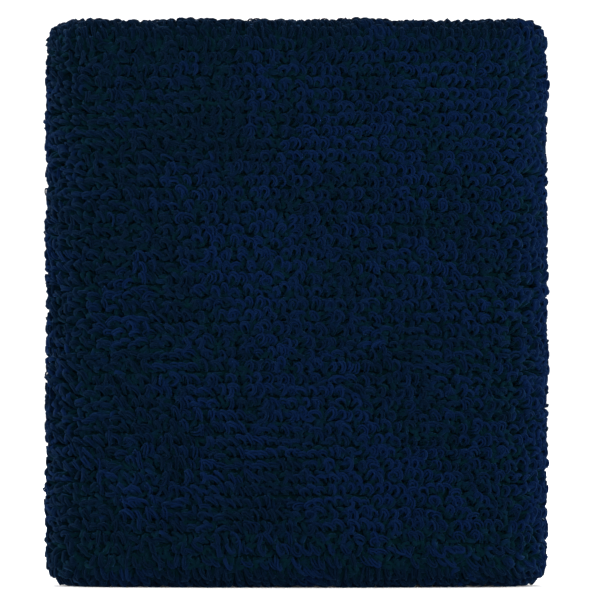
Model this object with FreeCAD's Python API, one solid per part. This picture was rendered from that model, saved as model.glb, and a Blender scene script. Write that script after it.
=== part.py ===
"""A terry sweat wristband, flat and relaxed, standing on its lower rim.

The band is one long knitted tube folded in on itself: an outer wall, a fold over each rim and an inner
wall, whose two raw ends meet half way up the inside and are joined by a linking seam. The knit itself is
three yarn systems: a thin ground knit, plush loops that stand on its face, and elastic threads laid in
along its back. Each system has its own solids for the outer wall, the rims and the two inner half walls.

The frame is +Z up along the tube, the way a hand goes in. X runs across the flat width and Y through the
depth, with the front face at -Y. The origin is at the centre of the face the band stands on. Millimetres.

Every layer is the same oval at another inset from the outside of the pile, so layers share their faces.
"""
import FreeCAD, Part
import math
import os

Vector = FreeCAD.Vector

# Driving dimensions
BAND_HEIGHT = 90.0
FLAT_WIDTH = 80.0
FLAT_DEPTH = 24.8
SIDE_FOLD_RADIUS = 10.0  # of the outside, where the tube folds flat at its two sides
PILE_HEIGHT = 3.0
GROUND_THICKNESS = 1.0
BACK_GAP = 0.8  # between the backs of the two ground knits
PRESSED_IN = 0.3  # how far the lower rim's pile is pressed flat by the band's own weight
COURSE_PITCH = 1.95  # from one row of loops to the next
ELASTIC_DIAMETER = 0.5
ELASTIC_EVERY = 2  # courses
ELASTIC_CLEARANCE = 0.02
SEAM_VALLEY = 4.4  # the strip along the linking seam that has no pile
SELVEDGE_THICKNESS = 0.9  # of each raw end, turned up towards the wrist
SELVEDGE_WIDTH = 1.8
STITCH_COUNT = 44
STITCH_THREAD_DIAMETER = 0.3
STITCH_CLEARANCE = 0.05
NEEDLE_CLEARANCE = 0.02
NEEDLE_DEPTH = 1.2  # from the turned-up edge down to the needle holes

# The insets of the layers' faces from the outside of the pile, through the wall to the wrist side
OUTER_PILE_BACK = PILE_HEIGHT
OUTER_GROUND_BACK = OUTER_PILE_BACK + GROUND_THICKNESS
INNER_GROUND_BACK = OUTER_GROUND_BACK + BACK_GAP
INNER_PILE_BACK = INNER_GROUND_BACK + GROUND_THICKNESS
WRIST_SIDE = INNER_PILE_BACK + PILE_HEIGHT
WALL_MIDDLE = WRIST_SIDE / 2

# The oval: two side folds of a small radius, joined by a front and a back of a large one
SIDE_CENTRE_X = FLAT_WIDTH / 2 - SIDE_FOLD_RADIUS
CROWN = FLAT_DEPTH / 2 - SIDE_FOLD_RADIUS  # how far the faces stand out past the side folds
FACE_CENTRE_Y = (SIDE_CENTRE_X**2 - CROWN**2) / (2 * CROWN)
FACE_RADIUS = FACE_CENTRE_Y + FLAT_DEPTH / 2
MEETING_ANGLE = math.atan2(FACE_CENTRE_Y, SIDE_CENTRE_X)

# Heights
TOP_FOLD_Z = BAND_HEIGHT - WALL_MIDDLE
BOTTOM_FOLD_Z = WALL_MIDDLE - PRESSED_IN
SEAM_Z = BAND_HEIGHT / 2
ELASTIC_PITCH = COURSE_PITCH * ELASTIC_EVERY


def oval_arcs(inset):
    """The oval's four arcs, anticlockwise from the right side fold: centre x and y, radius, start and end."""
    side = SIDE_FOLD_RADIUS - inset
    face = FACE_RADIUS - inset
    return [
        (SIDE_CENTRE_X, 0.0, side, -MEETING_ANGLE, MEETING_ANGLE),
        (0.0, -FACE_CENTRE_Y, face, MEETING_ANGLE, math.pi - MEETING_ANGLE),
        (-SIDE_CENTRE_X, 0.0, side, math.pi - MEETING_ANGLE, math.pi + MEETING_ANGLE),
        (0.0, FACE_CENTRE_Y, face, math.pi + MEETING_ANGLE, 2 * math.pi - MEETING_ANGLE),
    ]


def oval_prism(inset, z_low, z_high):
    """The oval at this inset, as a solid from z_low to z_high."""
    edges = []
    for x, y, radius, start, end in oval_arcs(inset):
        circle = Part.Circle(Vector(x, y, z_low), Vector(0, 0, 1), radius)
        edges.append(Part.ArcOfCircle(circle, start, end).toShape())
    return Part.Face(Part.Wire(edges)).extrude(Vector(0, 0, z_high - z_low))


def wall(outer_inset, inner_inset, z_low, z_high):
    """One upright layer of the tube, between two insets."""
    return oval_prism(outer_inset, z_low, z_high).cut(oval_prism(inner_inset, z_low, z_high))


def round_the_oval(profile):
    """Carries a profile round the oval. profile takes a function of inset and height and returns a face."""
    sections = []
    for x, y, radius, start, end in oval_arcs(0.0):

        def place(inset, z, x=x, y=y, radius=radius, start=start):
            reach = radius - inset
            return Vector(x + reach * math.cos(start), y + reach * math.sin(start), z)

        turn = math.degrees(end - start)
        sections.append(profile(place).revolve(Vector(x, y, 0), Vector(0, 0, 1), turn))
    return sections[0].fuse(sections[1:]).removeSplitter()


def fold(inner_radius, outer_radius, z, upwards):
    """A layer where it turns over a rim: half of a ring in section, carried round the oval."""
    sign = 1 if upwards else -1

    def profile(place):
        def half_circle(radius, direction):
            return Part.Arc(
                place(WALL_MIDDLE - direction * radius, z),
                place(WALL_MIDDLE, z + sign * radius),
                place(WALL_MIDDLE + direction * radius, z),
            ).toShape()

        def across(direction):
            return Part.makeLine(
                place(WALL_MIDDLE + direction * inner_radius, z),
                place(WALL_MIDDLE + direction * outer_radius, z),
            )

        outline = [half_circle(outer_radius, 1), across(1), half_circle(inner_radius, -1), across(-1)]
        return Part.Face(Part.Wire(Part.__sortEdges__(outline)))

    return round_the_oval(profile)


def thread_ring(inset, z, diameter):
    """A round thread that runs once round the tube."""
    radius = diameter / 2

    def profile(place):
        left, right = place(inset - radius, z), place(inset + radius, z)
        upper = Part.Arc(left, place(inset, z + radius), right).toShape()
        lower = Part.Arc(right, place(inset, z - radius), left).toShape()
        return Part.Face(Part.Wire([upper, lower]))

    return round_the_oval(profile)


def thread_rings(inset, heights):
    """Elastic threads at several heights, as separate solids."""
    first = thread_ring(inset, 0.0, ELASTIC_DIAMETER)
    return Part.makeCompound([first.translated(Vector(0, 0, z)) for z in heights])


def elastic_heights(first, z_low, z_high):
    """The heights from first upwards, one elastic pitch apart, that lie between the two limits."""
    count = int((BAND_HEIGHT - first) / ELASTIC_PITCH) + 1
    return [z for z in (first + ELASTIC_PITCH * n for n in range(count)) if z_low < z < z_high]


def stitch_places():
    """The point on the outside and the outward direction, in radians, at each of the seam's stitches."""
    stitch_inset = INNER_PILE_BACK + SELVEDGE_WIDTH / 2
    arcs = oval_arcs(stitch_inset)
    lengths = [radius * (end - start) for x, y, radius, start, end in arcs]
    places = []
    for n in range(STITCH_COUNT):
        along = sum(lengths) * n / STITCH_COUNT
        for (x, y, radius, start, end), length in zip(arcs, lengths):
            if along < length:
                angle = start + along / radius
                reach = radius + stitch_inset
                places.append((Vector(x + reach * math.cos(angle), y + reach * math.sin(angle), 0), angle))
                break
            along -= length
    return places


def stitch():
    """One overlock stitch at the seam, on the X axis: a rounded loop through and round both raw ends."""
    radius = STITCH_THREAD_DIAMETER / 2
    needle_x = -(INNER_PILE_BACK + SELVEDGE_WIDTH - NEEDLE_DEPTH)
    edge_x = -(INNER_PILE_BACK + SELVEDGE_WIDTH + STITCH_CLEARANCE + radius)
    reach = SELVEDGE_THICKNESS + STITCH_CLEARANCE + radius
    bend = radius * 1.6

    def corner(x, z, turn_x, turn_z):
        """A quarter bend at a corner, towards turn_x along X and turn_z along Z."""
        slack = bend * (1 - math.sqrt(0.5))
        return Part.Arc(
            Vector(x + turn_x * bend, 0, z),
            Vector(x + turn_x * slack, 0, z + turn_z * slack),
            Vector(x, 0, z + turn_z * bend),
        ).toShape()

    corners = [
        corner(edge_x, SEAM_Z - reach, 1, 1),
        corner(edge_x, SEAM_Z + reach, 1, -1),
        corner(needle_x, SEAM_Z + reach, -1, -1),
        corner(needle_x, SEAM_Z - reach, -1, 1),
    ]
    legs = [
        Part.makeLine(Vector(x, 0, SEAM_Z - reach + bend), Vector(x, 0, SEAM_Z + reach - bend))
        for x in (edge_x, needle_x)
    ]
    legs += [
        Part.makeLine(Vector(edge_x + bend, 0, z), Vector(needle_x - bend, 0, z))
        for z in (SEAM_Z - reach, SEAM_Z + reach)
    ]
    path = Part.Wire(Part.__sortEdges__(corners + legs))
    start = path.OrderedVertexes[0].Point
    along = path.OrderedEdges[0].tangentAt(path.OrderedEdges[0].FirstParameter)
    section = Part.Wire(Part.makeCircle(radius, start, along))
    return path.makePipeShell([section], True, True)


def place_copy(shape, point, angle):
    copy = shape.copy()
    copy.Placement = FreeCAD.Placement(point, FreeCAD.Rotation(Vector(0, 0, 1), math.degrees(angle)))
    return copy


def seam():
    """The two turned-up raw ends, with their needle holes, and the stitches that join them."""
    places = stitch_places()
    hole_radius = STITCH_THREAD_DIAMETER / 2 + NEEDLE_CLEARANCE
    hole_x = -(INNER_PILE_BACK + SELVEDGE_WIDTH - NEEDLE_DEPTH)
    hole = Part.makeCylinder(
        hole_radius,
        SELVEDGE_THICKNESS * 2,
        Vector(hole_x, 0, SEAM_Z - SELVEDGE_THICKNESS),
    )
    holes = Part.makeCompound([place_copy(hole, *place) for place in places])
    edge = INNER_PILE_BACK + SELVEDGE_WIDTH
    upper = wall(INNER_PILE_BACK, edge, SEAM_Z, SEAM_Z + SELVEDGE_THICKNESS)
    lower = wall(INNER_PILE_BACK, edge, SEAM_Z - SELVEDGE_THICKNESS, SEAM_Z)
    one = stitch()
    stitches = Part.makeCompound([place_copy(one, *place) for place in places])
    return upper.cut(holes), lower.cut(holes), stitches


def pile():
    """The plush loops' layers, as plain solids over the loops' tips."""
    inner_radius = WALL_MIDDLE - OUTER_PILE_BACK
    bottom = fold(inner_radius, WALL_MIDDLE, BOTTOM_FOLD_Z, False)
    below = Part.makeBox(
        2 * FLAT_WIDTH, 2 * FLAT_DEPTH, WALL_MIDDLE, Vector(-FLAT_WIDTH, -FLAT_DEPTH, -WALL_MIDDLE)
    )
    valley = SEAM_VALLEY / 2
    return {
        "outer_terry_pile": wall(0, OUTER_PILE_BACK, BOTTOM_FOLD_Z, TOP_FOLD_Z),
        "top_rim_terry_pile": fold(inner_radius, WALL_MIDDLE, TOP_FOLD_Z, True),
        "bottom_rim_terry_pile": bottom.cut(below),
        "inner_upper_terry_pile": wall(INNER_PILE_BACK, WRIST_SIDE, SEAM_Z + valley, TOP_FOLD_Z),
        "inner_lower_terry_pile": wall(INNER_PILE_BACK, WRIST_SIDE, BOTTOM_FOLD_Z, SEAM_Z - valley),
    }


def ground():
    """The ground knit that the loops stand on."""
    inner_radius = WALL_MIDDLE - OUTER_GROUND_BACK
    outer_radius = WALL_MIDDLE - OUTER_PILE_BACK
    return {
        "outer_ground_knit": wall(OUTER_PILE_BACK, OUTER_GROUND_BACK, BOTTOM_FOLD_Z, TOP_FOLD_Z),
        "top_rim_ground_knit": fold(inner_radius, outer_radius, TOP_FOLD_Z, True),
        "bottom_rim_ground_knit": fold(inner_radius, outer_radius, BOTTOM_FOLD_Z, False),
        "inner_upper_ground_knit": wall(INNER_GROUND_BACK, INNER_PILE_BACK, SEAM_Z, TOP_FOLD_Z),
        "inner_lower_ground_knit": wall(INNER_GROUND_BACK, INNER_PILE_BACK, BOTTOM_FOLD_Z, SEAM_Z),
    }


def elastic():
    """The elastic threads along the backs of the ground knits, and one in the heart of each rim."""
    from_back = ELASTIC_DIAMETER / 2 + ELASTIC_CLEARANCE
    outer_first = BOTTOM_FOLD_Z + COURSE_PITCH
    inner_first = outer_first + ELASTIC_PITCH / 2
    inner_inset = INNER_GROUND_BACK - from_back
    outer_heights = elastic_heights(outer_first, BOTTOM_FOLD_Z, TOP_FOLD_Z - COURSE_PITCH)
    upper_heights = elastic_heights(inner_first, SEAM_Z, TOP_FOLD_Z - COURSE_PITCH)
    lower_heights = elastic_heights(inner_first, BOTTOM_FOLD_Z, SEAM_Z)
    return {
        "outer_elastic_threads": thread_rings(OUTER_GROUND_BACK + from_back, outer_heights),
        "inner_upper_elastic_threads": thread_rings(inner_inset, upper_heights),
        "inner_lower_elastic_threads": thread_rings(inner_inset, lower_heights),
        "top_rim_elastic_thread": thread_ring(WALL_MIDDLE, TOP_FOLD_Z, ELASTIC_DIAMETER),
        "bottom_rim_elastic_thread": thread_ring(WALL_MIDDLE, BOTTOM_FOLD_Z, ELASTIC_DIAMETER),
    }


def main():
    upper_selvedge, lower_selvedge, stitches = seam()
    parts = {
        **pile(),
        **ground(),
        **elastic(),
        "seam_upper_selvedge": upper_selvedge,
        "seam_lower_selvedge": lower_selvedge,
        "linking_seam_stitches": stitches,
    }
    os.makedirs("parts", exist_ok=True)
    for name, shape in parts.items():
        shape.exportStep(f"parts/{name}.step")
        sizes = shape.BoundBox
        print(
            f"{name}: {len(shape.Solids)} solids, {shape.Volume / 1000:.3f} cm3, "
            f"{sizes.XLength:.2f} x {sizes.YLength:.2f} x {sizes.ZLength:.2f} mm, valid {shape.isValid()}"
        )


main()
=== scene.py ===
"""A terry sweat wristband standing on its lower rim, in navy cotton.

The pile is real geometry: every plush loop is two or three plies of yarn that rise from the ground knit,
lean over and come back down. The ground knit is one sheet of cloth, folded over both rims and linked into a
tube inside by a sewing thread. The elastic threads are the CAD model's own.

Lengths are in metres. A place on the knit is given by where it is round the tube (an angle on one of the
oval's four arcs), how deep it is below the outside of the pile (its inset) and its height.
"""
import math

import bpy
import numpy as np
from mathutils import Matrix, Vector


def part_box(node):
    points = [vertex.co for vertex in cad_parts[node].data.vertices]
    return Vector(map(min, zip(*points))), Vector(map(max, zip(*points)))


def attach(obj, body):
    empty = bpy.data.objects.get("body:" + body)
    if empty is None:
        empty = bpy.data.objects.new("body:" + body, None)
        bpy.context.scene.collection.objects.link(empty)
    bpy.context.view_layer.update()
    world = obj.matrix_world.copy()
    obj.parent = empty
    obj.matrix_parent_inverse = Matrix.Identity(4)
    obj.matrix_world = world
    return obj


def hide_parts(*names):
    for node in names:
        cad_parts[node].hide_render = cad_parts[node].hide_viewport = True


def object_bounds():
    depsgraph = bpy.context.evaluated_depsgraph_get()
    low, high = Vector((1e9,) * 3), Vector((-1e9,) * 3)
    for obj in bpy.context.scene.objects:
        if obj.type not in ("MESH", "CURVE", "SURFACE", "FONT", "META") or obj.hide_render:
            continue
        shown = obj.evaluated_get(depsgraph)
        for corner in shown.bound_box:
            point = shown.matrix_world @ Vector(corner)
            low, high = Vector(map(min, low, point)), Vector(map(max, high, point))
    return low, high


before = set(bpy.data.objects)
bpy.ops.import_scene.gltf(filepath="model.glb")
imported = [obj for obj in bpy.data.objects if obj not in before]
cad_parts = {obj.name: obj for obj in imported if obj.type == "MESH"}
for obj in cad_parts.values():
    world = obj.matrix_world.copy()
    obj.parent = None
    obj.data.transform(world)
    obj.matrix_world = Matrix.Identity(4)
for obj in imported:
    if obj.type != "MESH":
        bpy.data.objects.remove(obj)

cad_low, cad_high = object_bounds()

MM = 0.001

# Sizes that the CAD model sets
outer_low, outer_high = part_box("outer_terry_pile")
ground_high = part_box("outer_ground_knit")[1]
inner_low, inner_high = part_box("inner_upper_terry_pile")
HALF_WIDTH = outer_high.x
HALF_DEPTH = outer_high.y
PILE_HEIGHT = outer_high.x - ground_high.x
OUTER_FACE = PILE_HEIGHT  # inset of the outer ground knit's face
INNER_FACE = outer_high.x - inner_high.x  # inset of the inner ground knit's face
WALL_MIDDLE = (OUTER_FACE + INNER_FACE) / 2
TOP_FOLD_Z = outer_high.z
BOTTOM_FOLD_Z = outer_low.z
SEAM_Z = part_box("seam_upper_selvedge")[0].z
SEAM_VALLEY = inner_low.z - SEAM_Z
SIDE_FOLD_RADIUS = 10 * MM
SELVEDGE_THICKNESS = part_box("seam_upper_selvedge")[1].z - SEAM_Z
SELVEDGE_WIDTH = 1.8 * MM
NEEDLE_DEPTH = 1.2 * MM
STITCH_COUNT = 44

# The pile
WALES = 126  # columns of loops round the tube
UNDER_WALES = 180  # the same, of the short loops that fill the pile between the others
COURSE_PITCH = 1.95 * MM  # from one row of loops to the next
RIM_COURSES = 7
WALE_DRIFT = 0.06  # of a wale, from one course to the next
WALE_SCATTER = 0.1  # of a wale
COURSE_SCATTER = 0.16 * MM
SWELL = 0.22 * MM  # of the slow waves in the pile's outside
RIM_TUCK = 0.15 * MM  # how much further in the rims' loops start
FACE_BANDS = 5  # pieces up the front, and up the back
SIDE_BANDS = 2  # pieces up each side fold
RING_PARTS = 4  # pieces round each rim and each inner half wall

# One loop
LOOP_LENGTH = 3.3 * MM
RIM_SHORTENING = 0.92
HEAD_RADIUS = 0.60 * MM
WIDE_HEAD_RADIUS = 0.68 * MM
HEAD_TURN = math.radians(80)
FOOT_GAP = 0.7 * MM
FREE_HEIGHT = 0.78  # of the pile's height, above which the loops crowd and press each other down
CROWDING = 0.38
TURN_RATE = 1.6  # a loop has turned to its facing when it is this many times nearer its foot than its top
LONG_HEAD_STEPS = 6
SHORT_HEAD_STEPS = 4

# Its yarn
PLY_RADIUS = 0.168 * MM
PLY_SPREAD = 0.25 * MM
PLIES = 3
THREE_PLY_SHARE = 0.8  # of the long loops, the others having two plies
PLY_TURNS = (0.3, 0.25)  # to a loop: the middle and the scatter
FOOT_SPREAD = 0.35  # of the plies' spread, at a loop's feet
SPREAD_SCATTER = 0.25
SPREAD_LIMITS = (0.4, 1.7)
TIDY_SPREAD = 0.65  # of the plies' spread, on the side folds' and the rims' outline
SIDES = 4

# The short loops
UNDER_LENGTH = 2.15 * MM
UNDER_THICKNESS = 2.2  # of a ply, because the short loops' yarns stay closed
UNDER_SCATTER = 0.12  # of a short loop's length
UNDER_EDGE_GROWTH = 0.35  # on the outline, where daylight would show between the loops

# The stray fibres
FUZZ_LENGTH = (1.2 * MM, 2.4 * MM)
FUZZ_WANDER = 0.5 * MM
FUZZ_BENDING = 1.2  # radians
FUZZ_START = (0.45, 0.8)  # of the pile's height
FUZZ_RISE = (0.0, 0.5)
FUZZ_TOP = 0.98
FUZZ_ARCH = 2.2  # radians of a sine from a fibre's start to its end
FUZZ_RADIUS = 0.035 * MM
FUZZ_POINTS = 4
FUZZ_SIDES = 3

# Chance
PILE_SEED = 7
SWELL_SEED = 3

# Patches in the pile: cells of random values round the tube and up it
SLOW_PATCHES = (9, 5)
QUICK_PATCHES = (26, 16)
RIPPLE_PATCHES = (44, 44)
SWIRL_PATCHES = (50, 28)
CHAOS_PATCHES = (12, 7)
SWELL_PATCHES = (24, 13)

# Where loops differ from the rest: near a rim, as a share of the height from the middle, and near a side, as
# a share of the half width. Each begins at the first number and is complete at the second.
RIM_ZONE = (0.40, 0.46)
SIDE_ZONE = (0.80, 0.92)

# Which loops lean right and which left: how sharp the change is, and how much the place across the face, the
# height and the slow patches count
RIGHT_SURENESS = 5
RIGHT_ACROSS = 0.6
RIGHT_UP = 1.1
RIGHT_SLOW = 0.5

# The way the loops lie, as angles in the fabric from the course. In this part and the next, ACROSS is what is
# added from the middle of a face to its right side, RIGHT where the loops lean right, and RIM near a rim.
LEAN_RIGHT = math.radians(50)
LEAN_LEFT = math.radians(115)
LEAN_TO_RIM = math.radians(80)
LEAN_TO_RIM_ACROSS = math.radians(-20)
LEAN_QUICK = 0.35
LEAN_SWIRL = 0.9
LEAN_SWIRL_RIGHT = -0.5
LEAN_SCATTER = 0.8  # where the chaos is 1
CHAOS = 0.18
CHAOS_PATCH = 0.2
CHAOS_ACROSS = -0.2
CHAOS_LIMITS = (0.05, 0.7)
TWIST = math.radians(42)  # from a loop's lean to its facing
TWIST_RIGHT = math.radians(45)
TWIST_SCATTER = 0.12
TWIST_SCATTER_CHAOS = 0.3
RIM_CALM = 0.5  # how much less the loops swirl and twist near a rim
BEND = 0.65  # from a loop's feet to its head
BEND_RIGHT = 0.4
BEND_RIM = 0.55
BEND_SLOW = 0.15
BEND_SCATTER = 0.15
BEND_LIMITS = (0.3, 1.6)

# The loops' sizes, as shares of one loop's
LENGTH_SLOW = 0.04
LENGTH_RIPPLE = 0.18
LENGTH_SCATTER = 0.07
LENGTH_LIMITS = (0.7, 1.3)
RIM_EVENNESS = 0.7  # how much less their sizes and bends differ near a rim
HEAD_SCATTER = 0.15
HEAD_LIMITS = (0.6, 1.4)
FOOT_SCATTER = 0.15
THICKNESS_SCATTER = 0.06
THICKNESS_LIMITS = (0.85, 1.15)

# The tone, from 0 for the darkest yarn to 1 for the brightest. It mixes random patches in the yarn with
# painted light and shade: a lighter right side and top, a sheen on the side folds and darker rims, all
# painted
TONE_MIDDLE = 0.5
# Random patches of lighter and darker yarn: partly real tone, and partly painted shade where the pile leans
# and parts
TONE_SLOW = 0.45
TONE_QUICK = 0.52
TONE_RIPPLE = 0.5
# Painted light: the right side and the top are painted lighter, as if lit more from the right and from above,
# and the side folds get a painted sheen, like light grazing their outline
PAINTED_LIGHT_ACROSS = 0.5
PAINTED_LIGHT_UP = 0.2  # from the bottom to the top
PAINTED_SHEEN_SIDES = 0.4
TONE_SCATTER = 0.08
PLY_TONE_SCATTER = 0.06
FUZZ_TONE = 0.2  # brighter than the loops
# Painted shade: the pile near the rims is painted darker, most of all on the top rim's outline
TOP_RIM_PAINTED_SHADE = 0.75  # how much darker the pile is near the top rim
TOP_CREST_PAINTED_SHADE = 0.4  # how much darker again on its outline
BOTTOM_RIM_PAINTED_SHADE = 0.4

# The ground knit
GROUND_THICKNESS = 1.0 * MM
GROUND_RELIEF = 0.06 * MM  # of the ribs and of the courses, each
GROUND_CLEARANCE = 0.01 * MM  # between each skin and the CAD model's face
SEAM_CORNER = 0.6 * MM  # radius of the cloth's middle where it turns up into a selvedge
CLOTH_MAP = "cloth"

# The seam thread
SEAM_PLY_RADIUS = 0.09 * MM
SEAM_STEPS = 14  # points to a stitch
SEAM_PLIES = 2
SEAM_PLY_TURNS = 3  # to a stitch
SEAM_SIDES = 5

# Maps on every strand: one cell each for baking, and one in millimetres along it and turns round it
CELL_MARGIN = 0.06
BAKE_MAP = "OFBake"
STRAND_MAP = "strand"

# The studio
CAMERA_DISTANCE = 1.2
FRAME_WIDTH = 95.2 * MM
CAMERA_RIGHT = 0.555 * MM  # of the band's middle
CAMERA_UP = 0.317 * MM
SENSOR_WIDTH = 36  # in millimetres, as Blender has it
FLOOR_SIZE = 3.0
FLOOR_BEND = 0.5  # radius where the floor turns up into the wall behind
FLOOR_BEND_STEPS = 16


def oval_arcs():
    """The tube's section as four arcs that meet smoothly: centre x and y, outside radius, start and end."""
    side_x = HALF_WIDTH - SIDE_FOLD_RADIUS
    crown = HALF_DEPTH - SIDE_FOLD_RADIUS
    face_y = (side_x**2 - crown**2) / (2 * crown)
    face = face_y + HALF_DEPTH
    turn = math.atan2(face_y, side_x)
    return np.array([
        (side_x, 0, SIDE_FOLD_RADIUS, -turn, turn),
        (0, -face_y, face, turn, math.pi - turn),
        (-side_x, 0, SIDE_FOLD_RADIUS, math.pi - turn, math.pi + turn),
        (0, face_y, face, math.pi + turn, 2 * math.pi - turn),
    ])


ARCS = oval_arcs()
RIGHT_FOLD, BACK, LEFT_FOLD, FRONT = range(4)


def round_tube(u):
    """The arc and the angle at each u, which runs from 0 to 1 round the outer ground knit's face."""
    lengths = (ARCS[:, 2] - OUTER_FACE) * (ARCS[:, 4] - ARCS[:, 3])
    ends = np.cumsum(lengths)
    along = (u % 1.0) * ends[-1]
    arc = np.searchsorted(ends, along, side="right").clip(0, 3)
    share = (along - (ends - lengths)[arc]) / lengths[arc]
    return arc, ARCS[arc, 3] + share * (ARCS[arc, 4] - ARCS[arc, 3])


def radial_of(angle):
    """The level direction at each angle."""
    return np.stack([np.cos(angle), np.sin(angle), np.zeros_like(angle)], axis=-1)


def point_at(arc, angle, inset, z):
    """The point in space of each place on the knit."""
    reach = (ARCS[arc, 2] - inset)[..., None]
    centre = np.stack([ARCS[arc, 0], ARCS[arc, 1], z], axis=-1)
    return centre + radial_of(angle) * reach


def smooth_noise(u, v, cells_u, cells_v, rng):
    """Smooth random values from -1 to 1 over u and v, each from 0 to 1. It joins up round u."""
    grid = rng.uniform(-1, 1, (cells_v + 3, cells_u))
    x = (u % 1.0) * cells_u
    y = np.clip(v, 0, 1) * cells_v
    i, j = np.floor(x).astype(int), np.floor(y).astype(int)
    fx, fy = x - i, y - j
    fx, fy = fx * fx * (3 - 2 * fx), fy * fy * (3 - 2 * fy)
    i0, i1 = i % cells_u, (i + 1) % cells_u
    low = grid[j, i0] * (1 - fx) + grid[j, i1] * fx
    high = grid[j + 1, i0] * (1 - fx) + grid[j + 1, i1] * fx
    return low * (1 - fy) + high * fy


def unit(v):
    return v / np.maximum(np.linalg.norm(v, axis=-1, keepdims=True), 1e-12)


def frames_along(path):
    """Two directions across each path at each of its points, carried along without twisting."""
    tangent = unit(np.gradient(path, axis=1))
    side = np.cross(tangent[:, 0], np.array([0.31, 0.77, 0.55]))
    across = np.empty_like(path)
    across[:, 0] = unit(side)
    for k in range(1, path.shape[1]):
        before = across[:, k - 1]
        lean = (before * tangent[:, k]).sum(-1, keepdims=True)
        across[:, k] = unit(before - lean * tangent[:, k])
    return across, np.cross(tangent, across)


class Strands:
    """Tubes along many paths, gathered into one mesh, each with its own cell of the bake map and its tone."""

    def __init__(self):
        self.points = []
        self.faces = []
        self.caps = []
        self.cap_sizes = []
        self.cells = []
        self.places = []
        self.lengths = []
        self.tones_and_painted_light = []
        self.depths = []
        self.count = 0
        self.vertices = 0

    def add(self, paths, radius, tone, depth, sides=SIDES):
        """paths is (strands, points, 3), radius and depth (strands, points), and tone (strands)."""
        strands, steps = paths.shape[:2]
        across, up = frames_along(paths)
        side = np.arange(sides)
        turn = side * 2 * math.pi / sides
        ring = across[:, :, None] * np.cos(turn)[:, None] + up[:, :, None] * np.sin(turn)[:, None]
        tube = paths[:, :, None] + ring * radius[:, :, None, None]
        first = self.vertices + np.arange(strands) * steps * sides
        step = np.arange(steps - 1)[:, None] * sides
        after = (side + 1) % sides
        corners = np.stack([
            step + side,
            step + sides + side,
            step + sides + after,
            step + after,
        ], axis=-1)
        self.faces.append((first[:, None, None, None] + corners).reshape(-1, 4))
        last = (steps - 1) * sides
        self.caps.append((first[:, None] + side).ravel())
        self.caps.append((first[:, None] + last + side[::-1]).ravel())
        self.cap_sizes.append(np.full(2 * strands, sides))
        along = np.arange(steps - 1)[:, None, None] + np.array([0, 1, 1, 0])
        around = side[None, :, None] + np.array([0, 0, 1, 1])
        along, around = np.broadcast_arrays(along / (steps - 1), around / sides)
        place = np.stack([along, around], axis=-1).reshape(-1, 2)
        self.places.append(np.tile(place, (strands, 1)))
        self.cells.append(np.repeat(self.count + np.arange(strands), len(place)))
        length = np.linalg.norm(np.diff(paths, axis=1), axis=-1).sum(axis=1)
        self.lengths.append(np.repeat(length, len(place)))
        self.points.append(tube.reshape(-1, 3))
        self.tones_and_painted_light.append(np.repeat(tone, steps * sides))
        self.depths.append(np.repeat(depth.reshape(-1), sides))
        self.count += strands
        self.vertices += strands * steps * sides

    def maps(self, extra):
        """The bake map and the strand map at every corner, with extra corners for the caps at the end."""
        place = np.concatenate(self.places)
        cell = np.concatenate(self.cells)
        columns = math.ceil(math.sqrt(self.count))
        grid = np.stack([cell % columns, cell // columns], axis=-1)
        bake = (grid + CELL_MARGIN + (1 - 2 * CELL_MARGIN) * place) / columns
        strand = place * np.stack([np.concatenate(self.lengths) / MM, np.ones(len(cell))], axis=-1)
        empty = np.zeros((extra, 2))
        return np.concatenate([bake, empty]), np.concatenate([strand, empty])

    def mesh(self, name):
        """One mesh of all the tubes. They are made of quads, and each end has a cap."""
        points = np.concatenate(self.points)
        quads = np.concatenate(self.faces)
        caps = np.concatenate(self.caps)
        cap_sizes = np.concatenate(self.cap_sizes)
        mesh = bpy.data.meshes.new(name)
        mesh.vertices.add(len(points))
        mesh.vertices.foreach_set("co", points.astype(np.float32).ravel())
        corners = np.concatenate([quads.ravel(), caps])
        mesh.loops.add(len(corners))
        mesh.loops.foreach_set("vertex_index", corners.astype(np.int32))
        sizes = np.concatenate([np.full(len(quads), 4), cap_sizes])
        mesh.polygons.add(len(sizes))
        starts = np.cumsum(sizes) - sizes
        mesh.polygons.foreach_set("loop_start", starts.astype(np.int32))
        mesh.polygons.foreach_set("use_smooth", np.ones(len(starts), bool))
        for label, values in zip((BAKE_MAP, STRAND_MAP), self.maps(caps.size)):
            layer = mesh.uv_layers.new(name=label)
            layer.data.foreach_set("uv", values.astype(np.float32).ravel())
        for label, values in (("tone", self.tones_and_painted_light), ("depth", self.depths)):
            attribute = mesh.attributes.new(label, "FLOAT", "POINT")
            attribute.data.foreach_set("value", np.concatenate(values).astype(np.float32))
        mesh.update(calc_edges=True)
        mesh.validate()
        return mesh


def add_piece(name, mesh, material, slot, *nodes):
    """A piece that rides on the band's one body and takes the place of these nodes of the CAD model."""
    piece = bpy.data.objects.new(name, mesh)
    bpy.context.scene.collection.objects.link(piece)
    mesh.materials.append(material)
    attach(piece, "root")
    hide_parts(*nodes)
    return piece


# Materials

def new_material(name):
    """A material that is one Principled shader, with its node tree and that shader."""
    material = bpy.data.materials.new(name)
    material.use_nodes = True
    tree = material.node_tree
    tree.nodes.clear()
    output = tree.nodes.new("ShaderNodeOutputMaterial")
    shader = tree.nodes.new("ShaderNodeBsdfPrincipled")
    tree.links.new(shader.outputs["BSDF"], output.inputs["Surface"])
    return material, tree, shader


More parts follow.
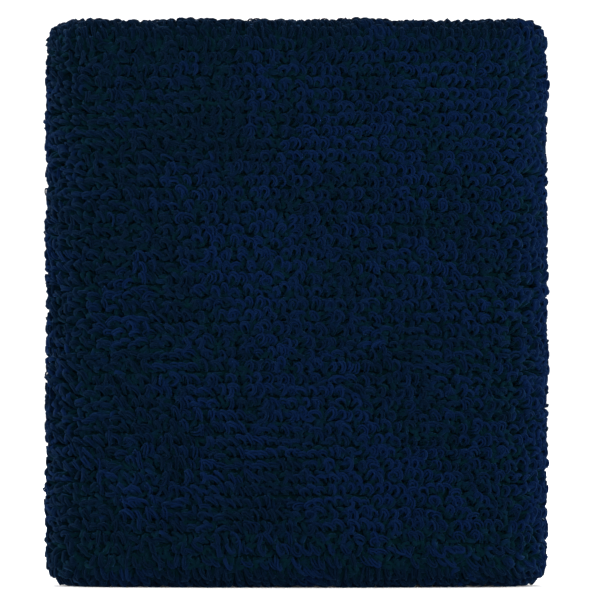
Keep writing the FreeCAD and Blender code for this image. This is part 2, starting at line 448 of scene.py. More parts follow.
class Maths:
    """Short ways to add Math, noise, mix and bump nodes to one material."""

    def __init__(self, tree):
        self.nodes = tree.nodes
        self.links = tree.links

    def feed(self, value, socket):
        """Sets a socket to a number or a colour, or links it to another node's output."""
        if isinstance(value, (int, float, tuple)):
            socket.default_value = value
        else:
            self.links.new(value, socket)

    def math(self, operation, first, second=None, third=None):
        node = self.nodes.new("ShaderNodeMath")
        node.operation = operation
        for value, socket in zip((first, second, third), node.inputs):
            if value is not None:
                self.feed(value, socket)
        return node.outputs["Value"]

    def map(self, name):
        """The two parts of a UV map."""
        place = self.nodes.new("ShaderNodeUVMap")
        place.uv_map = name
        parts = self.nodes.new("ShaderNodeSeparateXYZ")
        self.links.new(place.outputs["UV"], parts.inputs["Vector"])
        return parts.outputs["X"], parts.outputs["Y"]

    def attribute(self, name):
        node = self.nodes.new("ShaderNodeAttribute")
        node.attribute_name = name
        return node.outputs["Fac"]

    def noise(self, x, y, z, scale, detail=2.0):
        place = self.nodes.new("ShaderNodeCombineXYZ")
        for value, socket in zip((x, y, z), place.inputs):
            self.feed(value, socket)
        node = self.nodes.new("ShaderNodeTexNoise")
        node.inputs["Scale"].default_value = scale
        node.inputs["Detail"].default_value = detail
        self.links.new(place.outputs["Vector"], node.inputs["Vector"])
        return node.outputs["Fac"]

    def ramp(self, value, from_low, from_high, to_low, to_high, smooth=False):
        node = self.nodes.new("ShaderNodeMapRange")
        node.interpolation_type = "SMOOTHSTEP" if smooth else "LINEAR"
        limits = {"From Min": from_low, "From Max": from_high, "To Min": to_low, "To Max": to_high}
        for name, limit in limits.items():
            node.inputs[name].default_value = limit
        self.links.new(value, node.inputs["Value"])
        return node.outputs["Result"]

    def mix(self, factor, first, second, blend="MIX"):
        node = self.nodes.new("ShaderNodeMix")
        node.data_type = "RGBA"
        node.blend_type = blend
        for value, name in ((factor, "Factor"), (first, "A"), (second, "B")):
            self.feed(value, next(s for s in node.inputs if s.name == name and s.enabled))
        return next(s for s in node.outputs if s.enabled)

    def bump(self, height, distance, strength=1.0):
        node = self.nodes.new("ShaderNodeBump")
        node.inputs["Distance"].default_value = distance
        node.inputs["Strength"].default_value = strength
        self.links.new(height, node.inputs["Height"])
        return node.outputs["Normal"]


def twisted_fibres(maths, twist, fineness, seed):
    """Fine noise drawn out along a strand's fibres, which wind round it, by twist turns to a millimetre."""
    along, around = maths.map(STRAND_MAP)
    turns = maths.math("MULTIPLY_ADD", along, twist, around)
    angle = maths.math("MULTIPLY", turns, 2 * math.pi)
    x = maths.math("COSINE", angle)
    y = maths.math("SINE", angle)
    return maths.noise(x, y, maths.math("MULTIPLY_ADD", along, 0.35, seed), fineness)


def terry_material():
    """Twisted cotton yarn. Down in the pile it is painted lighter and greenish, as painted light in the shade
    between the loops, and it is bluer at the loops' heads.
    """
    material, tree, shader = new_material("terry_cotton")
    maths = Maths(tree)
    shader.inputs["Specular IOR Level"].default_value = 0.02
    shader.inputs["Sheen Weight"].default_value = 0.1
    shader.inputs["Sheen Roughness"].default_value = 0.5
    shader.inputs["Sheen Tint"].default_value = (0.05, 0.2, 0.5, 1)
    tone = maths.attribute("tone")
    depth = maths.attribute("depth")
    fibres = twisted_fibres(maths, 0.35, 2.6, maths.math("MULTIPLY", tone, 90.0))
    # The heads' colour follows the tone, which holds painted light and shade as well as random patches
    tip = maths.mix(tone, (0.00003, 0.0021, 0.0068, 1), (0.0004, 0.0039, 0.0204, 1))
    # Painted light by depth: the yarn down in the pile is painted lighter and greenish, standing in for light
    # in the shaded gaps, and turns bluer towards the heads
    painted_depth_ramp = maths.ramp(depth, 0.0, 0.5, 0.0, 1.0, smooth=True)
    deep = maths.mix(painted_depth_ramp, (0.00002, 0.0084, 0.0114, 1), (0.00004, 0.0055, 0.0080, 1))
    yarn = maths.mix(maths.ramp(depth, 0.52, 0.80, 0.0, 1.0, smooth=True), deep, tip)
    streaks = maths.ramp(fibres, 0.3, 0.7, 0.88, 1.12)
    grey = tree.nodes.new("ShaderNodeCombineColor")
    for name in ("Red", "Green", "Blue"):
        tree.links.new(streaks, grey.inputs[name])
    colour = maths.mix(1.0, yarn, grey.outputs["Color"], "MULTIPLY")
    tree.links.new(colour, shader.inputs["Base Color"])
    tree.links.new(maths.ramp(fibres, 0.3, 0.7, 0.96, 0.8), shader.inputs["Roughness"])
    tree.links.new(maths.bump(fibres, 0.04 * MM), shader.inputs["Normal"])
    return material


def knit_material():
    """Stocking stitch: in every wale, two legs that meet in a V in every course."""
    material, tree, shader = new_material("ground_knit")
    maths = Maths(tree)
    shader.inputs["Specular IOR Level"].default_value = 0.03
    wale, row = maths.map(CLOTH_MAP)
    from_middle = maths.math("ABSOLUTE", maths.math("SUBTRACT", maths.math("FRACT", wale), 0.5))
    slanted = maths.math("MULTIPLY_ADD", from_middle, 1.2, row)
    leg = maths.math("SINE", maths.math("MULTIPLY", slanted, 2 * math.pi))
    rib = maths.math("ABSOLUTE", maths.math("SINE", maths.math("MULTIPLY", wale, 2 * math.pi)))
    legs = maths.ramp(leg, -1.0, 1.0, 0.0, 1.0)
    stitch = maths.math("MULTIPLY", legs, maths.ramp(rib, 0.0, 1.0, 0.35, 1.0))
    across = maths.math("MULTIPLY", wale, 6.0)
    fibres = maths.noise(across, maths.math("MULTIPLY", slanted, 2.0), 0.0, 2.5, 4.0)
    height = maths.math("MULTIPLY_ADD", fibres, 0.3, stitch)
    # The knit is painted lighter and greenish, like the deep yarn of the pile: painted light in the shade
    # between the loops. It is lighter on the stitches' raised legs and darker between them
    colour = maths.mix(height, (0.00002, 0.0062, 0.0088, 1), (0.00004, 0.0092, 0.0128, 1))
    tree.links.new(colour, shader.inputs["Base Color"])
    tree.links.new(maths.ramp(fibres, 0.3, 0.7, 0.95, 0.8), shader.inputs["Roughness"])
    tree.links.new(maths.bump(height, 0.15 * MM), shader.inputs["Normal"])
    return material


def seam_thread_material():
    """A twisted two-ply sewing thread."""
    material, tree, shader = new_material("seam_thread")
    maths = Maths(tree)
    shader.inputs["Specular IOR Level"].default_value = 0.2
    fibres = twisted_fibres(maths, 1.6, 2.2, 3.0)
    colour = maths.mix(fibres, (0.0008, 0.0050, 0.0150, 1), (0.0030, 0.0120, 0.0330, 1))
    tree.links.new(colour, shader.inputs["Base Color"])
    tree.links.new(maths.ramp(fibres, 0.3, 0.7, 0.75, 0.55), shader.inputs["Roughness"])
    tree.links.new(maths.bump(fibres, 0.03 * MM), shader.inputs["Normal"])
    return material


def elastic_material():
    """Rubber wound with a fine covering yarn."""
    material, tree, shader = new_material("covered_elastic")
    maths = Maths(tree)
    shader.inputs["Specular IOR Level"].default_value = 0.25
    place = tree.nodes.new("ShaderNodeTexCoord")
    winding = tree.nodes.new("ShaderNodeTexWave")
    winding.bands_direction = "DIAGONAL"
    winding.inputs["Scale"].default_value = 900.0
    winding.inputs["Distortion"].default_value = 2.0
    winding.inputs["Detail Scale"].default_value = 600.0
    tree.links.new(place.outputs["Object"], winding.inputs["Vector"])
    wound = winding.outputs["Fac"]
    colour = maths.mix(wound, (0.0015, 0.0060, 0.0150, 1), (0.0100, 0.0200, 0.0400, 1))
    tree.links.new(colour, shader.inputs["Base Color"])
    tree.links.new(maths.ramp(wound, 0.0, 1.0, 0.75, 0.5), shader.inputs["Roughness"])
    tree.links.new(maths.bump(wound, 0.05 * MM), shader.inputs["Normal"])
    return material


# The pile

def loop_paths(sites, head_steps):
    """The centre lines of the loops at these sites, in each site's own directions, and how high each goes.

    A loop is two legs and a round head. It turns on its way up, from feet that lie along the course to a
    head that faces the way it has twisted, and it bends over further the higher it gets. Near the top of the
    pile the loops press each other down."""
    turn = np.linspace(-HEAD_TURN, HEAD_TURN, head_steps)
    radius = sites["radius"][:, None]
    length = sites["length"][:, None]
    gap = sites["gap"][:, None]
    head_x = radius * np.sin(turn)
    head_y = length - radius + radius * np.cos(turn)
    rise = np.array([0.0, 0.5])  # a leg's foot, and half way up to the head
    leg_x = gap / 2 + (head_x[:, -1:] - gap / 2) * rise
    leg_y = head_y[:, -1:] * rise
    sideways = np.concatenate([-leg_x, head_x, leg_x[:, ::-1]], axis=1)
    upwards = np.concatenate([leg_y, head_y, leg_y[:, ::-1]], axis=1)
    share = upwards / length
    bend = sites["bend"][:, None]
    over = length / bend * (1 - np.cos(bend * share))
    height = length / bend * np.sin(bend * share)
    free = FREE_HEIGHT * PILE_HEIGHT
    height = np.where(height < free, height, free + (height - free) * CROWDING)
    facing = sites["facing"][:, None] * np.minimum(1, share * TURN_RATE)
    lean = sites["lean"][:, None]
    p = sideways * np.cos(facing) + over * np.cos(lean)
    q = sideways * np.sin(facing) + over * np.sin(lean)
    depth = height / PILE_HEIGHT / sites["shortening"][:, None]
    return np.stack([p, q, height], axis=-1), np.clip(depth, 0, 1)


def site_axes(sites):
    """The directions round the tube, along it and out of the knit at each site."""
    angle = sites["angle"]
    radial = radial_of(angle)
    around = np.stack([-np.sin(angle), np.cos(angle), np.zeros_like(angle)], axis=-1)
    upright = np.array([0.0, 0.0, 1.0])
    tilt = sites["tilt"][:, None]
    along = -np.sin(tilt) * radial + np.cos(tilt) * upright
    return around, along, np.cos(tilt) * radial + np.sin(tilt) * upright


def grow(strands, sites, head_steps, rng):
    """Adds these sites' loops as plies that wind round their centre lines. The floor stops the lowest."""
    base = point_at(sites["arc"], sites["angle"], sites["inset"], sites["z"])
    local, depth = loop_paths(sites, head_steps)
    steps = local.shape[1]
    axes = np.stack(site_axes(sites), axis=1)
    centre = base[:, None] + np.einsum("nkc,ncd->nkd", local, axes)
    across, up = frames_along(centre)
    count = len(base)
    phase = rng.uniform(0, 2 * math.pi, count)
    turns = rng.normal(*PLY_TURNS, count) * 2 * math.pi
    way = np.linspace(0, 1, steps)
    plies = sites["plies"]
    for ply in range(PLIES):
        has = plies > ply
        if not has.any():
            continue
        a = (phase + ply * 2 * math.pi / plies)[:, None] + turns[:, None] * way
        loose = np.clip(1 + rng.normal(0, SPREAD_SCATTER, count), *SPREAD_LIMITS)[:, None]
        closed = FOOT_SPREAD + (1 - FOOT_SPREAD) * depth
        spread = PLY_SPREAD * sites["spread"][:, None] * loose * closed
        apart = across * np.cos(a)[..., None] + up * np.sin(a)[..., None]
        path = centre + apart * spread[..., None]
        path[..., 2] = np.maximum(path[..., 2], cad_low.z + PLY_RADIUS)
        radius = PLY_RADIUS * sites["thick"][:, None] * np.ones(steps)
        tone = np.clip(sites["tone"] + rng.normal(0, PLY_TONE_SCATTER, count), 0, 1)
        strands.add(path[has], radius[has], tone[has], depth[has])


def places(u, z, inset, tilt):
    """Sites at each u round the tube. A tilt of 0 faces out of the outer wall, and pi faces the wrist."""
    arc, angle = round_tube(u)
    return {
        "u": u % 1.0,
        "arc": arc,
        "angle": angle,
        "inset": inset + 0 * u,
        "z": z,
        "tilt": np.full_like(u, tilt),
    }


def swell(u, z):
    """How far the pile's outside stands out at each place, from slow waves in the fabric."""
    v = (z - BOTTOM_FOLD_Z) / (TOP_FOLD_Z - BOTTOM_FOLD_Z)
    return SWELL * smooth_noise(u, v, *SWELL_PATCHES, np.random.default_rng(SWELL_SEED))


def zone(value, limits):
    """0 below the zone, 1 above it, and a straight line between."""
    return np.clip((value - limits[0]) / (limits[1] - limits[0]), 0, 1)


def dress(sites, rng):
    """Gives every site the shape and the tone of its loop.

    x is where a loop is across its face, from -1 on the left to 1 on the right, and v is how high it is, from
    0 to 1. crest is 1 on a rim's outline, and side_edge is 1 on a side fold's.

    The loops lie in patches. Up on the right most lean right, with their heads seen from the front. Down on
    the left most lean left, and are seen from the side. Near a rim they lean towards it, evenly."""
    u, z = sites["u"], sites["z"]
    n = len(u)
    v = (z - cad_low.z) / (cad_high.z - cad_low.z)
    where = point_at(sites["arc"], sites["angle"], sites["inset"], z)
    x = where[:, 0] / HALF_WIDTH * np.where(where[:, 1] < 0, 1.0, -1.0)
    slow = smooth_noise(u, v, *SLOW_PATCHES, rng)
    quick = smooth_noise(u, v, *QUICK_PATCHES, rng)
    ripple = smooth_noise(u, v, *RIPPLE_PATCHES, rng)
    swirl = smooth_noise(u, v, *SWIRL_PATCHES, rng)
    chaos = CHAOS + CHAOS_PATCH * smooth_noise(u, v, *CHAOS_PATCHES, rng) + CHAOS_ACROSS * x
    chaos = np.clip(chaos, *CHAOS_LIMITS)
    to_right = RIGHT_ACROSS * x + RIGHT_UP * (v - 0.5) + RIGHT_SLOW * slow
    right_share = 1 / (1 + np.exp(-RIGHT_SURENESS * to_right))
    rightwards = rng.random(n) < right_share
    near_rim = zone(np.abs(v - 0.5), RIM_ZONE)
    towards_rim = np.sign(v - 0.5) * (LEAN_TO_RIM + LEAN_TO_RIM_ACROSS * x)
    crest = np.abs(np.sin(sites["tilt"]))**3
    side_edge = zone(np.abs(x), SIDE_ZONE)

    lean = np.where(rightwards, LEAN_RIGHT, LEAN_LEFT)
    lean = np.where(rng.random(n) < near_rim, towards_rim, lean)
    swirling = (LEAN_SWIRL + LEAN_SWIRL_RIGHT * right_share) * (1 - RIM_CALM * near_rim)
    lean = lean + LEAN_QUICK * quick + swirling * swirl + chaos * rng.normal(0, LEAN_SCATTER, n)
    sites["lean"] = lean
    twist = (TWIST + TWIST_RIGHT * right_share) * (1 - RIM_CALM * near_rim)
    twist = twist + (math.pi / 2 - twist) * crest  # over the crest the heads stand across the outline
    twist = twist + (TWIST_SCATTER + TWIST_SCATTER_CHAOS * chaos) * rng.normal(0, 1, n)
    sites["facing"] = (lean + twist + math.pi / 2) % math.pi - math.pi / 2

    uneven = 1 - RIM_EVENNESS * near_rim
    bend = BEND + BEND_RIGHT * right_share * (1 - near_rim) + BEND_RIM * near_rim + BEND_SLOW * slow * uneven
    sites["bend"] = np.clip(bend + rng.normal(0, BEND_SCATTER, n) * uneven, *BEND_LIMITS)
    length = 1 + (LENGTH_SLOW * slow + LENGTH_RIPPLE * ripple + rng.normal(0, LENGTH_SCATTER, n)) * uneven
    sites["length"] = LOOP_LENGTH * np.clip(length, *LENGTH_LIMITS)
    radius = WIDE_HEAD_RADIUS + (HEAD_RADIUS - WIDE_HEAD_RADIUS) * right_share
    sites["radius"] = radius * np.clip(1 + rng.normal(0, HEAD_SCATTER, n), *HEAD_LIMITS)
    sites["gap"] = FOOT_GAP * (1 + rng.normal(0, FOOT_SCATTER, n))
    sites["thick"] = np.clip(1 + rng.normal(0, THICKNESS_SCATTER, n), *THICKNESS_LIMITS)

    # Painted shade: darker near the rims, and darker still on the top rim's outline
    painted_rim_shade = near_rim * np.where(v > 0.5, TOP_RIM_PAINTED_SHADE + TOP_CREST_PAINTED_SHADE * crest, BOTTOM_RIM_PAINTED_SHADE)
    # Painted light: lighter to the right and towards the top, and a painted sheen on the side folds
    gradient = PAINTED_LIGHT_ACROSS * x + PAINTED_LIGHT_UP * (v - 0.5) + PAINTED_SHEEN_SIDES * side_edge**2
    # Random patches of tone, partly painted shade where the pile leans and parts
    patches = TONE_SLOW * slow + TONE_QUICK * quick + TONE_RIPPLE * ripple
    tone = TONE_MIDDLE + patches - painted_rim_shade + gradient
    sites["tone"] = np.clip(tone + rng.normal(0, TONE_SCATTER, n), 0, 1)

    sites["plies"] = np.where(rng.random(n) < THREE_PLY_SHARE, 3, 2)
    sites["edge"] = np.maximum(side_edge, crest)
    sites["spread"] = 1 - (1 - TIDY_SPREAD) * sites["edge"]
    sites["shortening"] = np.ones(n)
    return sites


def undergrowth(sites, rng):
    """Makes these loops the short ones that fill the pile between the others."""
    n = len(sites["u"])
    sites["length"] = UNDER_LENGTH * np.clip(1 + rng.normal(0, UNDER_SCATTER, n), *LENGTH_LIMITS)
    sites["facing"] = rng.uniform(0, math.pi, n)
    sites["lean"] = rng.uniform(0, 2 * math.pi, n)
    sites["plies"] = np.ones(n, int)
    sites["spread"] = np.zeros(n)
    sites["thick"] = np.full(n, UNDER_THICKNESS)
    sites["length"] *= 1 + UNDER_EDGE_GROWTH * sites["edge"]
    return sites


def joined(parts):
    """The sites of all the parts together."""
    return {key: np.concatenate([part[key] for part in parts]) for key in parts[0]}


def chosen(sites, mask):
    """The sites that the mask picks."""
    return {key: values[mask] for key, values in sites.items()}


def course(count, row, rng):
    """The places round the tube of one course's loops, each course drifting on a little from the last."""
    wale = np.arange(count) + WALE_DRIFT * row
    return (wale + rng.normal(0, WALE_SCATTER, count)) / count


def wall(z_low, z_high, inset, tilt, wales, rng):
    """Whole courses of loops between two heights, the first and last half a course from them."""
    rows = round((z_high - z_low) / COURSE_PITCH)
    parts = []
    for row in range(rows):
        middle = z_low + (z_high - z_low) * (row + 0.5) / rows
        z = middle + rng.normal(0, COURSE_SCATTER, wales)
        u = course(wales, row, rng)
        out = swell(u, z) if tilt == 0 else 0
        parts.append(places(u, z, inset - out, tilt))
    return dress(joined(parts), rng)


def rim(fold_z, upwards, wales, rng):
    """The courses of loops that go over a rim, from the outer wall to the inner one."""
    radius = WALL_MIDDLE - OUTER_FACE
    sign = 1 if upwards else -1
    parts = []
    for row in range(RIM_COURSES):
        turn = math.pi * (row + 0.5) / RIM_COURSES
        u = course(wales, row, rng)
        out = radius - RIM_TUCK + swell(u, fold_z + 0 * u) * math.sin(turn)
        z = fold_z + sign * out * math.sin(turn)
        inset = WALL_MIDDLE - radius * math.cos(turn)
        parts.append(places(u, z, inset, sign * turn))
    sites = dress(joined(parts), rng)
    sites["length"] *= RIM_SHORTENING
    sites["shortening"] *= RIM_SHORTENING
    return sites


def fuzz(strands, sites, rng):
    """Adds a stray fibre from near each of these sites, which lies loosely over the loops."""
    count = len(sites["u"])
    roots = chosen(sites, rng.permutation(count))
    base = point_at(roots["arc"], roots["angle"], roots["inset"], roots["z"])
    way = np.linspace(0, 1, FUZZ_POINTS)
    heading = rng.uniform(0, 2 * math.pi, count)[:, None] + rng.normal(0, FUZZ_BENDING, count)[:, None] * way
    step = rng.uniform(*FUZZ_LENGTH, count)[:, None] / (FUZZ_POINTS - 1)
    p = np.cumsum(np.cos(heading) * step, axis=1) + rng.normal(0, FUZZ_WANDER, count)[:, None]
    q = np.cumsum(np.sin(heading) * step, axis=1) + rng.normal(0, FUZZ_WANDER, count)[:, None]
    z = roots["z"][:, None]
    q = np.clip(q, BOTTOM_FOLD_Z - z, TOP_FOLD_Z - z)
    start = rng.uniform(*FUZZ_START, count)[:, None]
    rise = rng.uniform(*FUZZ_RISE, count)[:, None]
    depth = np.minimum(start + rise * np.sin(way * FUZZ_ARCH), FUZZ_TOP)
    fall = p**2 / (2 * ARCS[roots["arc"], 2][:, None])  # the wall curves away from under the fibre
    local = np.stack([p, q, depth * PILE_HEIGHT - fall], axis=-1)
    axes = np.stack(site_axes(roots), axis=1)
    path = base[:, None] + np.einsum("nkc,ncd->nkd", local, axes)
    radius = FUZZ_RADIUS * (1 - 0.5 * way) * np.ones((count, 1))
    tone = np.clip(roots["tone"] + FUZZ_TONE, 0, 1)
    strands.add(path, radius, tone, depth, FUZZ_SIDES)


def in_band(sites, arc, bands, k):
    """The sites on one of the oval's arcs that are in the kth of equal bands up the wall."""
    share = (sites["z"] - BOTTOM_FOLD_Z) / (TOP_FOLD_Z - BOTTOM_FOLD_Z)
    band = np.clip((share * bands).astype(int), 0, bands - 1)
    return chosen(sites, (sites["arc"] == arc) & (band == k))


def in_part(sites, k):
    """The sites in the kth of equal parts round the tube."""
    return chosen(sites, (sites["u"] * RING_PARTS).astype(int) == k)


def pile(material):
    """All the terry, in pieces that a file can hold."""
    rng = np.random.default_rng(PILE_SEED)
    pieces = []

    def add(name, node, long_loops, short_loops=None, fuzzy=False):
        strands = Strands()
        grow(strands, long_loops, LONG_HEAD_STEPS if short_loops else SHORT_HEAD_STEPS, rng)
        if short_loops:
            grow(strands, short_loops, SHORT_HEAD_STEPS, rng)
        if fuzzy:
            fuzz(strands, long_loops, rng)
        pieces.append(add_piece(name, strands.mesh("pile"), material, "terry_pile", node))

    half = COURSE_PITCH / 2
    long_loops = wall(BOTTOM_FOLD_Z, TOP_FOLD_Z, OUTER_FACE, 0.0, WALES, rng)
    short_loops = wall(BOTTOM_FOLD_Z - half, TOP_FOLD_Z + half, OUTER_FACE, 0.0, UNDER_WALES, rng)
    short_loops = undergrowth(short_loops, rng)
    for label, arc, bands, fuzzy in (
        ("front", FRONT, FACE_BANDS, True),
        ("back", BACK, FACE_BANDS, True),
        ("right", RIGHT_FOLD, SIDE_BANDS, False),
        ("left", LEFT_FOLD, SIDE_BANDS, False),
    ):
        for k in range(bands):
            parts = [in_band(sites, arc, bands, k) for sites in (long_loops, short_loops)]
            add(f"outer_pile_{label}_{k + 1}", "outer_terry_pile", *parts, fuzzy)

    for label, fold_z in (("top", TOP_FOLD_Z), ("bottom", BOTTOM_FOLD_Z)):
        upwards = label == "top"
        long_loops = rim(fold_z, upwards, WALES, rng)
        short_loops = undergrowth(rim(fold_z, upwards, UNDER_WALES, rng), rng)
        for k in range(RING_PARTS):
            parts = [in_part(sites, k) for sites in (long_loops, short_loops)]
            add(f"{label}_rim_pile_{k + 1}", f"{label}_rim_terry_pile", *parts)

    for label, low, high in (
        ("upper", SEAM_Z + SEAM_VALLEY, TOP_FOLD_Z),
        ("lower", BOTTOM_FOLD_Z, SEAM_Z - SEAM_VALLEY),
    ):
        sites = wall(low, high, INNER_FACE, math.pi, WALES, rng)
        sites["plies"] = np.full(len(sites["u"]), 2)
        for k in range(RING_PARTS):
            add(f"inner_{label}_pile_{k + 1}", f"inner_{label}_terry_pile", in_part(sites, k))
    return pieces


# The ground knit

def straight(start, end, pitch):
    """Places along a line of the profile, up to but without its end."""
    count = max(1, round(math.dist(start, end) / pitch))
    share = (np.arange(count) / count)[:, None]
    return np.array(start) * (1 - share) + np.array(end) * share


def turned(centre, radius, first, last, steps):
    """Places along an arc of the profile, up to but without its end. The angles are in degrees."""
    angle = np.radians(first + (last - first) * np.arange(steps) / steps)
    return np.array(centre) + radius * np.stack([np.cos(angle), np.sin(angle)], axis=-1)


def cloth_profile():
    """The middle of the cloth as insets and heights, from one selvedge over both rims to the other."""
    front = OUTER_FACE + GROUND_THICKNESS / 2
    back = INNER_FACE - GROUND_THICKNESS / 2
    turn = (back - front) / 2
    edge = INNER_FACE + SELVEDGE_WIDTH
    rise = SELVEDGE_THICKNESS / 2
    corner = SEAM_CORNER
    upper, lower = SEAM_Z + rise, SEAM_Z - rise
    fine, coarse = 0.3 * MM, COURSE_PITCH * 2 / 3
    valley = SEAM_VALLEY + 1 * MM
    return np.concatenate([
        straight((edge, upper), (back + corner, upper), fine),
        turned((back + corner, upper + corner), corner, 270, 180, 4),
        straight((back, upper + corner), (back, SEAM_Z + valley), fine),
        straight((back, SEAM_Z + valley), (back, TOP_FOLD_Z), coarse),
        turned((WALL_MIDDLE, TOP_FOLD_Z), turn, 0, 180, 8),
        straight((front, TOP_FOLD_Z), (front, BOTTOM_FOLD_Z), coarse),
        turned((WALL_MIDDLE, BOTTOM_FOLD_Z), turn, 180, 360, 8),
        straight((back, BOTTOM_FOLD_Z), (back, SEAM_Z - valley), coarse),
        straight((back, SEAM_Z - valley), (back, lower - corner), fine),
        turned((back + corner, lower - corner), corner, 180, 90, 4),
        straight((back + corner, lower), (edge, lower), fine),
        np.array([(edge, lower)]),
    ])


def cloth_skins(profile, along, arc, angle):
    """The points of the cloth's knitted face and of its back, each by row and column."""
    columns = len(arc)
    direction = unit(np.gradient(profile, along, axis=0))
    face_side = np.stack([direction[:, 1], -direction[:, 0]], axis=-1)
    rib = np.where(np.arange(columns) % 2 == 0, 1.0, -1.0)
    courses = np.cos(2 * math.pi * along / COURSE_PITCH)
    relief = GROUND_RELIEF * (rib[None, :] + courses[:, None] - 1)
    on_edge = np.minimum(along, along[-1] - along)[:, None] < SELVEDGE_WIDTH
    half = np.where(on_edge, SELVEDGE_THICKNESS, GROUND_THICKNESS) / 2 - GROUND_CLEARANCE
    skins = []
    for offset in (half + np.where(on_edge, 0, relief), -half + 0 * relief):
        inset = profile[:, :1] + face_side[:, :1] * offset
        z = profile[:, 1:] + face_side[:, 1:] * offset
        skins.append(point_at(np.tile(arc, (len(z), 1)), np.tile(angle, (len(z), 1)), inset, z))
    return skins


def ground_knit(material):
    """One closed sheet with a knitted face and a back."""
    profile = cloth_profile()
    steps = np.linalg.norm(np.diff(profile, axis=0), axis=1)
    along = np.concatenate([[0], np.cumsum(steps)])
    rows, columns = len(profile), 2 * WALES
    arc, angle = round_tube((np.arange(columns) + 0.25) / columns)
    points = np.concatenate([skin.reshape(-1, 3) for skin in cloth_skins(profile, along, arc, angle)])

    def quads(corner_rows, corner_skins, count):
        """Quads round the tube. Each has four corners, whose rows and skins these are."""
        row = np.arange(count)[:, None, None] + np.array(corner_rows)
        column = np.arange(columns)[None, :, None] + np.array([0, 0, 1, 1])
        index = np.array(corner_skins) * rows * columns + row * columns + column % columns
        row, column, index = np.broadcast_arrays(row, column, index)
        return row.reshape(-1, 4), column.reshape(-1, 4), index.reshape(-1, 4)

    # The face, the back and the two raw edges, each with its place and its height in the bake map
    last = rows - 1
    groups = [
        (quads([0, 1, 1, 0], [0, 0, 0, 0], last), 0.0, 0.48),
        (quads([1, 0, 0, 1], [1, 1, 1, 1], last), 0.52, 0.48),
        (quads([0, 0, 0, 0], [1, 0, 0, 1], 1), 0.484, 0.01),
        (quads([last, last, last, last], [0, 1, 1, 0], 1), 0.504, 0.01),
    ]
    bake, cloth, faces = [], [], []
    for (row, column, index), first, size in groups:
        is_edge = len(row) == columns
        v = first + size * (np.array([0, 1, 1, 0]) + 0 * row if is_edge else along[row] / along[-1])
        bake.append(np.stack([column / columns, v], axis=-1).reshape(-1, 2))
        cloth.append(np.stack([column / 2, along[row] / COURSE_PITCH], axis=-1).reshape(-1, 2))
        faces.append(index)
    faces = np.concatenate(faces)
    mesh = bpy.data.meshes.new("ground_knit")
    mesh.vertices.add(len(points))
    mesh.vertices.foreach_set("co", points.astype(np.float32).ravel())
    mesh.loops.add(faces.size)
    mesh.loops.foreach_set("vertex_index", faces.astype(np.int32).ravel())
    mesh.polygons.add(len(faces))
    mesh.polygons.foreach_set("loop_start", (4 * np.arange(len(faces))).astype(np.int32))
    mesh.polygons.foreach_set("use_smooth", np.ones(len(faces), bool))
    for label, values in ((BAKE_MAP, bake), (CLOTH_MAP, cloth)):
        layer = mesh.uv_layers.new(name=label)
        layer.data.foreach_set("uv", np.concatenate(values).astype(np.float32).ravel())
    mesh.update(calc_edges=True)
    mesh.validate()
    nodes = [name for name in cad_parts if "ground_knit" in name or "selvedge" in name]
    sheet = add_piece("ground_knit", mesh, material, "ground_knit", *nodes)


def seam_thread(material):
    """A two-ply thread that whips the two selvedges together, once round them at every stitch."""
    count = STITCH_COUNT * SEAM_STEPS
    share = np.arange(count + 1) / count
    arc, angle = round_tube(share)
    stitch = share * STITCH_COUNT * 2 * math.pi
    outside = INNER_FACE + SELVEDGE_WIDTH + 2 * SEAM_PLY_RADIUS
    needle = INNER_FACE + SELVEDGE_WIDTH - NEEDLE_DEPTH
    reach = (outside - needle) / 2
    inset = (outside + needle) / 2 + reach * np.cos(stitch)
    z = SEAM_Z + (SELVEDGE_THICKNESS + 2 * SEAM_PLY_RADIUS) * np.sin(stitch)
    centre = point_at(arc, angle, inset, z)[None]
    across, up = frames_along(centre)
    strands = Strands()
    whole = np.ones((1, count + 1))
    for ply in range(SEAM_PLIES):
        turn = (stitch * SEAM_PLY_TURNS + ply * 2 * math.pi / SEAM_PLIES)[None, :, None]
        path = centre + SEAM_PLY_RADIUS * (across * np.cos(turn) + up * np.sin(turn))
        strands.add(path, SEAM_PLY_RADIUS * whole, np.ones(1), whole, SEAM_SIDES)
    mesh = strands.mesh("seam_thread")
    return add_piece("seam_thread", mesh, material, "seam_thread", "linking_seam_stitches")


def elastic_threads(material):
    """Gives the CAD model's own elastic rings their material."""
    for name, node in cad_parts.items():
        if "elastic" in name:
            node.data.materials.clear()
            node.data.materials.append(material)


# The studio

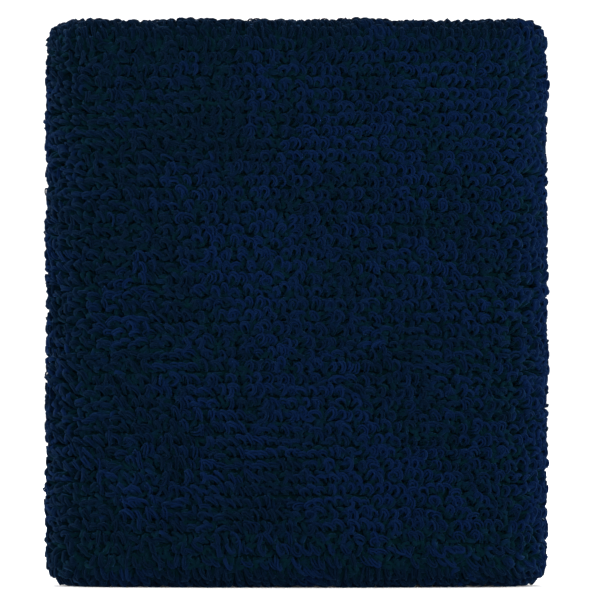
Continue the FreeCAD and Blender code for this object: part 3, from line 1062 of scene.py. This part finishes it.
def backdrop():
    """A sheet of pale paper, flat under the band and turned up behind it."""
    turned_up = FLOOR_SIZE / 2 + FLOOR_BEND
    profile = [(-FLOOR_SIZE, 0.0)]
    for k in range(FLOOR_BEND_STEPS + 1):
        a = math.pi / 2 * k / FLOOR_BEND_STEPS
        profile.append((FLOOR_SIZE / 2 + FLOOR_BEND * math.sin(a), FLOOR_BEND * (1 - math.cos(a))))
    profile.append((turned_up, FLOOR_SIZE))
    verts = []
    for y, z in profile:
        verts += [(-FLOOR_SIZE, y, z), (FLOOR_SIZE, y, z)]
    faces = [(2 * k, 2 * k + 1, 2 * k + 3, 2 * k + 2) for k in range(len(profile) - 1)]
    mesh = bpy.data.meshes.new("studio_floor")
    mesh.from_pydata(verts, [], faces)
    mesh.polygons.foreach_set("use_smooth", np.ones(len(faces), bool))
    floor = bpy.data.objects.new("studio_floor", mesh)
    bpy.context.scene.collection.objects.link(floor)
    material, tree, shader = new_material("studio_paper")
    shader.inputs["Base Color"].default_value = (0.95, 0.95, 0.95, 1)
    shader.inputs["Roughness"].default_value = 0.9
    shader.inputs["Specular IOR Level"].default_value = 0.1
    mesh.materials.append(material)


def softbox(name, place, size, power):
    """A square lamp that shines at the band's middle."""
    light = bpy.data.lights.new(name, "AREA")
    light.size = size
    light.energy = power
    lamp = bpy.data.objects.new(name, light)
    lamp.location = place
    target = Vector((0, 0, (cad_low.z + cad_high.z) / 2))
    lamp.rotation_euler = (target - Vector(place)).to_track_quat("-Z", "Y").to_euler()
    bpy.context.scene.collection.objects.link(lamp)


def studio():
    """The backdrop, even white light from all round, and the lamps."""
    backdrop()
    world = bpy.data.worlds.new("studio_world")
    world.use_nodes = True
    world.node_tree.nodes["Background"].inputs["Color"].default_value = (1, 1, 1, 1)
    world.node_tree.nodes["Background"].inputs["Strength"].default_value = 1.0
    bpy.context.scene.world = world
    softbox("front", (0.15, -1.7, 0.12), 0.5, 24)
    softbox("key", (0.7, -1.0, 0.3), 0.8, 14)
    softbox("fill", (-0.8, -0.8, 0.2), 0.8, 3)
    softbox("left", (-1.0, -0.15, 0.12), 0.5, 20)
    softbox("right", (1.0, -0.15, 0.12), 0.5, 6)
    softbox("back", (0.0, 0.8, 0.6), 0.6, 8)


def camera():
    """A camera square on to the front, far enough off to show the flat outline."""
    data = bpy.data.cameras.new("camera")
    eye = bpy.data.objects.new("camera", data)
    data.sensor_width = SENSOR_WIDTH
    data.lens = SENSOR_WIDTH * CAMERA_DISTANCE / FRAME_WIDTH
    eye.location = (CAMERA_RIGHT, -CAMERA_DISTANCE, (cad_low.z + cad_high.z) / 2 + CAMERA_UP)
    eye.rotation_euler = (math.pi / 2, 0, 0)
    bpy.context.scene.collection.objects.link(eye)
    bpy.context.scene.camera = eye
    bpy.context.scene.view_settings.view_transform = "Standard"


camera()
studio()
pile_pieces = pile(terry_material())
thread_piece = seam_thread(seam_thread_material())
ground_knit(knit_material())
elastic_threads(elastic_material())
